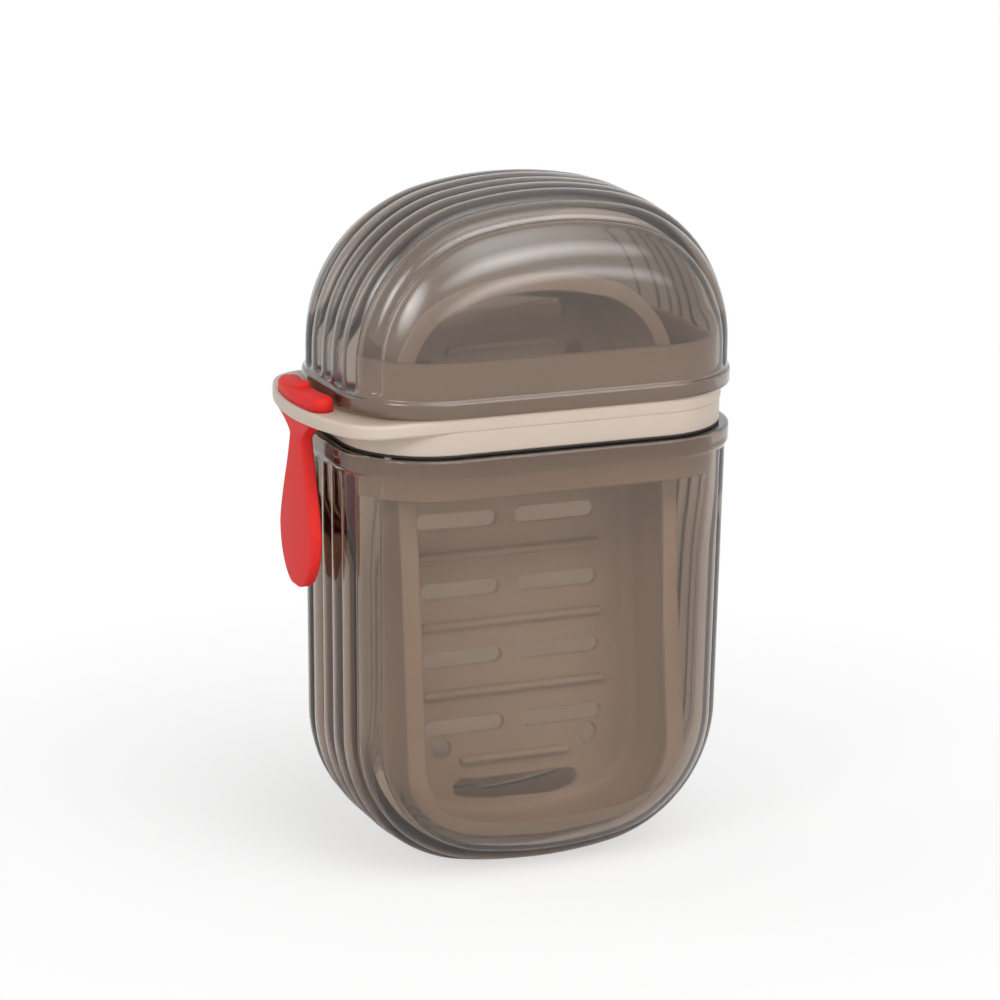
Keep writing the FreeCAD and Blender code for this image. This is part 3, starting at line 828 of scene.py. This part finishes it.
def trayDish():
    wall, depth, edge = trayForm["wall"], trayForm["depth"], trayForm["edgeRound"]
    lip, rounding, step = trayForm["lip"], trayForm["rimRound"], trayForm["join"]
    beadStart, beadLength = trayForm["beadDepth"]
    beadRise, steps = trayForm["rimBead"], trayForm["dishSteps"]
    inner = edge - wall
    # section from the panel's front, over the rim, to the panel's back, as (inset, y)
    profile = [(edge + step, -wall)]
    profile += [(wall + inner * (1 - math.sin(a)), -wall - inner * (1 - math.cos(a)))
                for a in spread(0, quarterTurn, steps["inside"])]
    profile += [(wall + beadRise * smoothStep(share, 0, 1), -depth + beadStart - beadLength * share)
                for share in spread(0, 1, steps["bead"])]
    profile += [(wall + beadRise - rounding * (1 - math.cos(a)), -depth + rounding * (1 - math.sin(a)))
                for a in spread(0, quarterTurn, steps["rim"])]
    profile += [(-lip + rounding * (1 - math.cos(a)), -depth + rounding * (1 - math.sin(a)))
                for a in spread(quarterTurn, 0, steps["rim"])]
    lipBack, cut = trayForm["lipDepth"] - depth, trayForm["chamfer"]
    profile += [(-lip, lipBack - rounding), (-lip + cut, lipBack - cut), (-lip + rounding, lipBack)]
    profile += [(-rounding, lipBack), (-cut, lipBack + cut), (0, lipBack + rounding)]
    profile += [(edge * (1 - math.cos(a)), -edge + edge * math.sin(a))
                for a in spread(0, quarterTurn, steps["outside"])]
    profile += [(edge + step, 0)]
    parts = [joinRows([[Vector((x, y, z)) for x, z in trayOutline(inset)] for inset, y in profile])]
    soft = trayForm["openingRound"]
    bends = [(soft * (1 - math.sin(a)), soft * (1 - math.cos(a)))
             for a in spread(0, quarterTurn, steps["opening"])]
    section = [(soft + step, -wall)] + [(grow, -wall + sink) for grow, sink in bends]
    section += [(grow, -sink) for grow, sink in reversed(bends)] + [(soft + step, 0)]
    openings = trayOpenings()
    for opening in openings:
        parts.append(joinRows([[Vector((x, y, z)) for x, z in opening(grow)] for grow, y in section]))
    loops = [trayOutline(edge + step)] + [opening(soft + step) for opening in openings]
    parts += [panelPart(loops, -wall), panelPart(loops, 0)]
    return parts


def trayRib(z, half):
    # rounded bar on the panel, which holds the soap off it
    width, top = trayForm["ribWidth"] / 2, trayForm["wall"] + trayForm["ribRise"]
    foot, lastAngle = trayForm["wall"] / 2, math.radians(trayForm["ribEnd"])
    endSteps, topSteps = trayForm["ribSteps"]
    rows = []
    ends = [half - width + width * math.sin(a) for a in spread(0, lastAngle, endSteps)]
    for x in [-e for e in reversed(ends)] + ends:
        past = max(abs(x) - half + width, 0) / width
        wide = width * math.sqrt(1 - past ** 2)
        tall = top - width * (1 - math.sqrt(1 - past ** 2))
        section = [(-wide, foot)] + [(wide * math.sin(a), tall - width * (1 - math.cos(a)))
                                     for a in spread(-quarterTurn, quarterTurn, topSteps)]
        section.append((wide, foot))
        rows.append([Vector((x, -out, z + across)) for across, out in section])
    return closeEnds(rows)


def makeTray():
    parts = trayDish()
    pairs = trayForm["ribPairs"]
    parts += [trayRib(row * trayForm["pitch"], trayForm["ribHalf"]) for row in range(-pairs, pairs + 1)]
    place, half = trayForm["endRib"]
    parts += [trayRib(end * place, half) for end in (-1, 1)]
    lean = Matrix.Rotation(math.radians(-trayForm["lean"]), 3, "X")
    shift = Vector(trayForm["place"])
    parts = [([insideRoom(lean @ point + shift) for point in points], faces) for points, faces in parts]
    ear = trayForm["ear"]
    for side in (-1, 1):
        ends = sorted((side * ear["inner"], side * ear["outer"]))
        parts.append(blockPart((ends[0], -ear["half"], ear["bottom"]),
                               (ends[1], ear["half"], ear["top"]), ear["round"]))
    tray = makePiece("soapTray", parts, trayPlasticPaintedLight)
    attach(tray, "collar")
    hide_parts("drain_tray")
    return tray


soapTray = makeTray()
print("tray made:", len(soapTray.data.polygons), "faces")

studio = {
    "floorSize": 6.0,
    "floorColour": (0.95, 0.95, 0.95),
    "shadowReach": (0.04, 0.17),  # metres from the box over which its shadow fades out
    "shadowWhite": 0.6,
    "glassReach": (0.045, 0.072),  # the same as seen in and through the plastic
    "glassWhite": 0.06,
    "fill": 0.24,
    "aimHeight": 0.08,
    "clothGlow": 2.6,
    "clothFade": (0.05, 0.5),  # a softbox is brightest in its middle
    "softboxes": (
        # name, turn from the front, lift, distance, width, height, watts
        ("keyBox", -55, 28, 1.1, 0.55, 0.80, 3.9),
        ("rimBox", -122, 22, 1.1, 0.60, 1.10, 1.5),
        ("topBox", 10, 66, 1.1, 1.50, 0.90, 4.0),
        ("highBox", 14, 43, 1.2, 1.80, 0.46, 5.7),
        ("frontStrip", 18, 17, 1.2, 1.90, 0.34, 3.0),
    ),
}


def makeWorld():
    world = bpy.data.worlds.new("studioWorld")
    bpy.context.scene.world = world
    world.use_nodes = True
    tree = world.node_tree
    tree.nodes.clear()
    shown = addNode(tree, "ShaderNodeBackground", Color=(1, 1, 1, 1), Strength=1.0)
    light = addNode(tree, "ShaderNodeBackground", Color=(1, 1, 1, 1), Strength=studio["fill"])
    output = addNode(tree, "ShaderNodeOutputWorld")
    shownTo = anyRay(tree, ("Is Camera Ray", "Is Glossy Ray", "Is Transmission Ray"))
    mixInto(tree, shownTo, light.outputs["Background"], shown.outputs["Background"], output)


def makeFloor():
    half = studio["floorSize"] / 2
    mesh = bpy.data.meshes.new("floor")
    corners = [(-half, -half, 0), (half, -half, 0), (half, half, 0), (-half, half, 0)]
    mesh.from_pydata(corners, [], [(0, 1, 2, 3)])
    floor = bpy.data.objects.new("floor", mesh)
    bpy.context.scene.collection.objects.link(floor)
    material, tree, paint, output = newMaterial("floorPaper")
    paint.inputs["Base Color"].default_value = (*studio["floorColour"], 1)
    paint.inputs["Roughness"].default_value = 1.0
    paint.inputs["Specular IOR Level"].default_value = 0.0
    glow = addNode(tree, "ShaderNodeEmission", Strength=1.0)
    place = addNode(tree, "ShaderNodeTexCoord")
    away = addNode(tree, "ShaderNodeVectorMath", operation="LENGTH")
    tree.links.new(place.outputs["Object"], away.inputs[0])
    whites = []
    for rays, white, reach in ((("Is Camera Ray",), "shadowWhite", "shadowReach"),
                               (("Is Glossy Ray", "Is Transmission Ray"), "glassWhite", "glassReach")):
        share = rangeOf(tree, away.outputs["Value"], studio[white], 1.0, *studio[reach])
        both = addNode(tree, "ShaderNodeMath", operation="MULTIPLY")
        tree.links.new(share, both.inputs[0])
        tree.links.new(anyRay(tree, rays), both.inputs[1])
        whites.append(both.outputs[0])
    mixInto(tree, larger(tree, *whites), paint.outputs["BSDF"], glow.outputs["Emission"], output)
    mesh.materials.append(material)


def makeSoftbox(name, turn, lift, distance, width, height, watts):
    lamp = bpy.data.lights.new(name, "AREA")
    lamp.shape = "ELLIPSE"
    lamp.size, lamp.size_y, lamp.energy = width, height, watts
    lamp.use_nodes = True
    tree = lamp.node_tree
    place = addNode(tree, "ShaderNodeNewGeometry")
    offMiddle = addNode(tree, "ShaderNodeVectorMath", operation="DISTANCE")
    offMiddle.inputs[1].default_value = (0.5, 0.5, 0.0)  # the middle of the cloth
    tree.links.new(place.outputs["Parametric"], offMiddle.inputs[0])
    cloth = rangeOf(tree, offMiddle.outputs["Value"], studio["clothGlow"], 0.0, *studio["clothFade"])
    tree.links.new(cloth, tree.nodes["Emission"].inputs["Strength"])
    holder = bpy.data.objects.new(name, lamp)
    turn, lift = math.radians(turn), math.radians(lift)
    away = Vector((math.sin(turn) * math.cos(lift), -math.cos(turn) * math.cos(lift), math.sin(lift)))
    holder.location = away * distance + Vector((0, 0, studio["aimHeight"]))
    holder.rotation_euler = (-away).to_track_quat("-Z", "Y").to_euler()
    holder.visible_camera = holder.visible_transmission = False
    bpy.context.scene.collection.objects.link(holder)


cameraPlace = {
    "target": (-3.011 * mm, 0.0, 69.454 * mm),
    "distance": 837.78 * mm,
    "turn": 23.047,
    "lift": 15.491,
    "roll": 0.81,
    "lens": 157.13,
    "sensor": 36.0,
    "clipStart": 0.01,
}


def makeCamera():
    data = bpy.data.cameras.new("photoCamera")
    data.lens = cameraPlace["lens"]
    data.sensor_width = cameraPlace["sensor"]
    camera = bpy.data.objects.new("photoCamera", data)
    turn, lift = math.radians(cameraPlace["turn"]), math.radians(cameraPlace["lift"])
    away = Vector((-math.sin(turn) * math.cos(lift), -math.cos(turn) * math.cos(lift), math.sin(lift)))
    target = Vector(cameraPlace["target"])
    camera.location = target + away * cameraPlace["distance"]
    camera.rotation_euler = (-away).to_track_quat("-Z", "Y").to_matrix().to_euler()
    camera.rotation_euler.rotate_axis("Z", math.radians(cameraPlace["roll"]))
    data.clip_start = cameraPlace["clipStart"]
    bpy.context.scene.collection.objects.link(camera)
    bpy.context.scene.camera = camera


makeWorld()
makeFloor()
for box in studio["softboxes"]:
    makeSoftbox(*box)
makeCamera()
bpy.context.scene.view_settings.view_transform = "Standard"
print("studio set")
